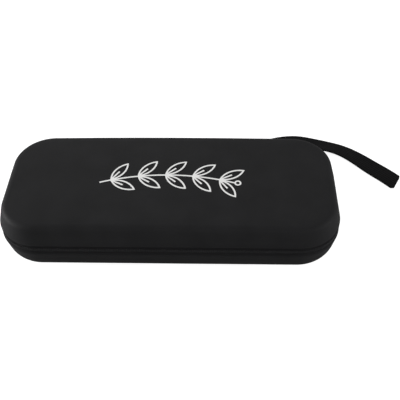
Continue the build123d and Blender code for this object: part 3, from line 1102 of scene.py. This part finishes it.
def strap_section(width, thickness):
    """Section across both plies: over the top from one edge to the other, and back below."""
    right = [(width / 2 * across, thickness / 2 * high) for across, high in STRAP_QUARTER]
    left = [(-across, high) for across, high in reversed(right[:-1])]
    top = right + left
    return top + [(across, -high) for across, high in reversed(top)]


class CASE_OT_wrist_strap(Operator):
    """Doubled webbing that leaves the hinge's seam and lies on the floor"""

    bl_idname = "case.wrist_strap"
    bl_label = "Wrist strap"

    def execute(self, context):
        points = route_points()
        travelled = [0.0]
        for before, after in zip(points, points[1:]):
            travelled.append(travelled[-1] + (after - before).length)
        section = strap_section(sizes().strap_width, sizes().strap_thickness)
        around = len(section)
        vertices, flat, faces = [], [], []
        for at, gone in enumerate(travelled):
            vertices += self.ring(points, at, gone, travelled[-1] - gone, section)
            flat += [(across, gone) for across, _ in section]
        for ring in range(len(points) - 1):
            for step in range(around):
                a = ring * around + step
                b = ring * around + (step + 1) % around
                faces.append((a, b, b + around, a + around))
        faces.append(tuple(reversed(range(around))))
        faces.append(tuple(range(len(vertices) - around, len(vertices))))
        data = bpy.data.meshes.new("wrist_strap_webbing")
        data.from_pydata(vertices, [], faces)
        obj = bpy.data.objects.new("wrist_strap_webbing", data)
        context.collection.objects.link(obj)
        cloth = data.uv_layers.new(name="UVMap")
        for loop in data.loops:
            cloth.data[loop.index].uv = flat[loop.vertex_index]
        face_outwards(obj)
        smooth(obj, 50)
        hand_over(obj, "base", "webbing", "wrist_strap")
        self.tab()
        return {"FINISHED"}

    def ring(self, points, at, gone, left, section):
        """Points of one cut across the webbing, lifted where it leans and narrowed at its tip."""
        place = points[at]
        heading = (points[min(at + 1, len(points) - 1)] - points[max(at - 1, 0)]).normalized()
        face = Vector((0, -heading.z, abs(heading.y))).normalized()
        side = heading.cross(face).normalized()
        half = sizes().strap_width / 2
        bite = max(0.0, TIP_CORNER - left)
        squeeze = 1 - (TIP_CORNER - sqrt(max(0.0, TIP_CORNER ** 2 - bite ** 2))) / half
        thinning = 1.0 if left > TIP_FOLD else sqrt(max(0.1, 1 - (1 - left / TIP_FOLD) ** 2))
        skew = TIP_SKEW * max(0.0, 1 - left / TIP_SKEWED)
        lean = ease(gone, *LEAN_BEGINS) * (1 - ease(gone, *LEAN_ENDS))
        sway = SWAY * ease(gone, *SWAY_BEGINS) * (1 - ease(gone, *SWAY_ENDS))
        sway -= DRIFT * ease(gone, *DRIFT_BEGINS)
        ring = []
        for across, high in section:
            point = place + side * across * squeeze + face * high * thinning
            near = (half + across) / (2 * half)
            point.z += LEAN_HEIGHT * lean * near ** 1.3
            point += side * (sway - LEAN_IN * lean * near)
            point += heading * skew * across / half
            if gone < LEVEL_ROOT:
                rise = (place.z - point.z) / heading.z
                point += heading * rise * (1 - gone / LEVEL_ROOT)
            ring.append(point)
        return ring

    def tab(self):
        """Folded tab that sews the strap's end into the seam."""
        obj = cleaned_copy("strap_anchor", "strap_tab", 0.5 * MM, 3)
        hand_over(obj, "base", "binding", "strap_anchor")


# ---- inside of the case


def flat_strip(name, low, high, level, cuts, ribs):
    """Grid between two corners, its map in metres with the ribs side by side along one axis."""
    clear_selection()
    bpy.ops.mesh.primitive_grid_add(x_subdivisions=cuts[0], y_subdivisions=cuts[1])
    obj = new_piece(name)
    obj.scale = ((high.x - low.x) / 2, (high.y - low.y) / 2, 1)
    obj.location = ((low.x + high.x) / 2, (low.y + high.y) / 2, level)
    apply_place(obj)
    cloth = obj.data.uv_layers.active.data
    for loop in obj.data.loops:
        place = obj.data.vertices[loop.vertex_index].co
        cloth[loop.index].uv = (place[ribs], place[1 - ribs])
    return obj


class CASE_OT_retainer(Operator):
    """Hook-and-loop strap on the base's floor, with its sewn ends"""

    bl_idname = "case.retainer"
    bl_label = "Retaining strap"

    def execute(self, context):
        front_low, front_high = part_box("retaining_strap_front")
        solid = front_high.z - front_low.z
        for side in ("front", "rear"):
            node = f"retaining_strap_{side}"
            low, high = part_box(node)
            level = high.z - solid + 0.05 * MM
            obj = flat_strip(f"retainer_{side}", low, high, level, cuts=(10, 28), ribs=0)
            modify(obj, "SOLIDIFY", thickness=sizes().retainer, offset=1)
            modify(obj, "BEVEL", width=0.25 * MM, segments=2, limit_method="ANGLE",
                   angle_limit=radians(50))
            smooth(obj, 50)
            hand_over(obj, "base", "webbing", node)
        tacks = cleaned_copy("retaining_strap_tacks", "retainer_tacks", 0.3 * MM)
        hand_over(tacks, "base", "binding", "retaining_strap_tacks")
        return {"FINISHED"}


# Section of the tape round the net, in mm: how far across and how far below the net it is.
EDGING = ((0, 0.05), (0.2, 0.3), (2.0, 0.36), (3.8, 0.3), (4.0, 0.05))


class CASE_OT_pocket(Operator):
    """Net pocket in the lid, with its hem and the elastic along its mouth"""

    bl_idname = "case.pocket"
    bl_label = "Lid pocket"

    def execute(self, context):
        self.net()
        self.edging()
        self.elastic()
        hem = cleaned_copy("pocket_hem", "pocket_hem_cloth", 0.3 * MM)
        hand_over(hem, "lid", "binding", "pocket_hem")
        return {"FINISHED"}

    def net(self):
        """Cut a plate into diamonds, and leave only their edges."""
        size = sizes()
        low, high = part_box("pocket_net")
        clear_selection()
        bpy.ops.mesh.primitive_plane_add(size=1, location=(0, 0, (low.z + high.z) / 2))
        obj = new_piece("pocket_net_strands")
        bpy.ops.object.mode_set(mode="EDIT")
        bpy.ops.transform.resize(value=(high.x - low.x, 2 * high.y, 1))
        bpy.ops.mesh.bevel(
            offset=size.corner_radius - (HALF_WIDTH - high.y), segments=12,
            affect="VERTICES", profile=0.5,
        )
        bpy.ops.mesh.select_all(action="SELECT")
        bpy.ops.mesh.bisect(plane_co=(0, low.y, 0), plane_no=(0, 1, 0), clear_inner=True)
        reach = int(1.5 * high.x / size.net_cell)
        for slope in (-1, 1):
            slant = Vector((0.8, slope, 0)).normalized()
            for line in range(-reach, reach + 1):
                bpy.ops.mesh.select_all(action="SELECT")
                bpy.ops.mesh.bisect(plane_co=slant * line * size.net_cell, plane_no=slant)
        bpy.ops.object.mode_set(mode="OBJECT")
        modify(obj, "WIREFRAME", thickness=size.net_strand, use_even_offset=False,
               use_boundary=True)
        smooth(obj, 60)
        hand_over(obj, "lid", "net", "pocket_net")

    def edging(self):
        """Tape round the net's sewn edge, from one end of the pocket's mouth to the other."""
        low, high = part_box("pocket_net")
        corner = sizes().corner_radius
        reach = HALF_LENGTH - corner + corner * pi / 2 + HALF_WIDTH - corner - low.y
        outer = HALF_WIDTH - high.y - 1.0 * MM
        profile = [(outer + across * MM, low.z - drop * MM) for across, drop in EDGING]
        obj = sweep("pocket_edge_tape", (-reach, reach), profile, 0.3 * MM, offset=0)
        hand_over(obj, "lid", "binding")

    def elastic(self):
        """Knitted band, drawn in so that it ripples a little."""
        low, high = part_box("pocket_elastic")
        middle = (low.z + high.z) / 2
        obj = flat_strip("pocket_elastic_band", low, high, middle, cuts=(260, 6), ribs=1)
        ripple, spacing = 0.12 * MM, 1.1 * MM
        for vertex in obj.data.vertices:
            vertex.co.z += ripple * sin(vertex.co.x / spacing)
        modify(obj, "SOLIDIFY", thickness=sizes().elastic, offset=0)
        smooth(obj, 50)
        hand_over(obj, "lid", "elastic", "pocket_elastic")


class CASE_OT_print(Operator):
    """White line drawing on the lid"""

    bl_idname = "case.print"
    bl_label = "Printed drawing"

    def execute(self, context):
        keep_node("lid_print")
        return {"FINISHED"}


# ---- studio


class CASE_OT_stage(Operator):
    """Pale floor, soft lights and the camera"""

    bl_idname = "case.stage"
    bl_label = "Studio"

    def execute(self, context):
        self.camera(context)
        self.floor(context)
        self.surroundings(context)
        self.lights(context)
        return {"FINISHED"}

    def camera(self, context):
        """Camera that looks at its aim on the floor, and is rolled about its own line of sight."""
        studio = context.scene.case_studio
        up_share, level_share = sin(studio.elevation), cos(studio.elevation)
        backwards = Vector((
            sin(studio.azimuth) * level_share, -cos(studio.azimuth) * level_share, up_share
        ))
        right = (-backwards).cross(Vector((0, 0, 1))).normalized()
        upwards = backwards.cross(right)
        turned_right = right * cos(studio.roll) + upwards * sin(studio.roll)
        turned_up = upwards * cos(studio.roll) - right * sin(studio.roll)
        data = bpy.data.cameras.new("camera")
        data.lens = studio.lens
        camera = bpy.data.objects.new("camera", data)
        context.collection.objects.link(camera)
        axes = Matrix((turned_right, turned_up, backwards)).transposed().to_4x4()
        place = Vector((studio.aim_x, studio.aim_y, 0)) + backwards * studio.distance
        camera.matrix_world = Matrix.Translation(place) @ axes
        context.scene.camera = camera

    def floor(self, context):
        """Pale floor that looks white to the camera."""
        clear_selection()
        bpy.ops.mesh.primitive_plane_add(size=8, location=(0, 0, 0))
        obj = new_piece("floor")
        material, shader, coordinates = start_material("studio_floor", 0.85, 0.1)
        mottled(material, shader, coordinates, colours().floor, patch_size=0.5, patches=0.01)
        tree = material.node_tree
        shader.inputs["Emission Color"].default_value = (1, 1, 1, 1)
        seen = tree.nodes.new("ShaderNodeLightPath").outputs["Is Camera Ray"]
        glow = math_node(tree, "MULTIPLY", seen, context.scene.case_studio.glow)
        tree.links.new(glow, shader.inputs["Emission Strength"])
        obj.data.materials.append(material)

    def surroundings(self, context):
        """White behind the floor, and dimmer light from all round."""
        world = bpy.data.worlds.new("surroundings")
        world.use_nodes = True
        tree = world.node_tree
        seen = tree.nodes.new("ShaderNodeLightPath").outputs["Is Camera Ray"]
        strength = math_node(tree, "MAXIMUM", seen, context.scene.case_studio.world)
        background = tree.nodes["Background"]
        background.inputs["Color"].default_value = (1, 1, 1, 1)
        tree.links.new(strength, background.inputs["Strength"])
        context.scene.world = world
        context.scene.view_settings.view_transform = "Standard"

    def lights(self, context):
        """Square soft lights, each with its power, its width and its place, aimed at the case."""
        studio = context.scene.case_studio
        target = Vector((0, 0, 30 * MM))
        for name, energy, width, place in (
            ("key", studio.key, 1.1, (-0.25, 0.15, 1.15)),
            ("rim_back", studio.rim, 0.7, (-0.2, 1.0, 0.5)),
            ("left_end", studio.left, 0.5, (-1.0, 0.05, 0.1)),
            ("right_end", studio.right, 0.5, (1.0, -0.2, 0.18)),
            ("front", studio.front, 0.9, (0.1, -1.2, 0.35)),
        ):
            data = bpy.data.lights.new(name, "AREA")
            data.energy = energy
            data.size = width
            light = bpy.data.objects.new(name, data)
            light.location = place
            aim = target - Vector(place)
            light.rotation_euler = aim.to_track_quat("-Z", "Y").to_euler()
            context.collection.objects.link(light)


# ---- panel, registration and the run


class CASE_PT_panel(Panel):
    """Sizes, colours and steps of the case"""

    bl_label = "Stethoscope case"
    bl_idname = "CASE_PT_panel"
    bl_space_type = "VIEW_3D"
    bl_region_type = "UI"
    bl_category = "Case"

    def draw(self, context):
        for group in GROUPS_OF_SETTINGS:
            settings = getattr(context.scene, group)
            box = self.layout.box()
            for name in settings.__annotations__:
                box.prop(settings, name)
        for operator in OPERATORS:
            self.layout.operator(operator.bl_idname)


OPERATORS = (
    CASE_OT_stage,
    CASE_OT_wrist_strap,
    CASE_OT_shells,
    CASE_OT_zip,
    CASE_OT_bindings,
    CASE_OT_hinge,
    CASE_OT_slider,
    CASE_OT_retainer,
    CASE_OT_pocket,
    CASE_OT_print,
)
GROUPS_OF_SETTINGS = {
    "case_sizes": CaseSizes, "case_colours": CaseColours, "case_studio": CaseStudio
}


def register():
    for kind in (*GROUPS_OF_SETTINGS.values(), *OPERATORS, CASE_PT_panel):
        bpy.utils.register_class(kind)
    for name, kind in GROUPS_OF_SETTINGS.items():
        setattr(bpy.types.Scene, name, PointerProperty(type=kind))


def unregister():
    for name in GROUPS_OF_SETTINGS:
        delattr(bpy.types.Scene, name)
    for kind in reversed((*GROUPS_OF_SETTINGS.values(), *OPERATORS, CASE_PT_panel)):
        bpy.utils.unregister_class(kind)


def main():
    register()
    for operator in OPERATORS:
        area, name = operator.bl_idname.split(".")
        getattr(getattr(bpy.ops, area), name)()


if __name__ == "__main__":
    main()
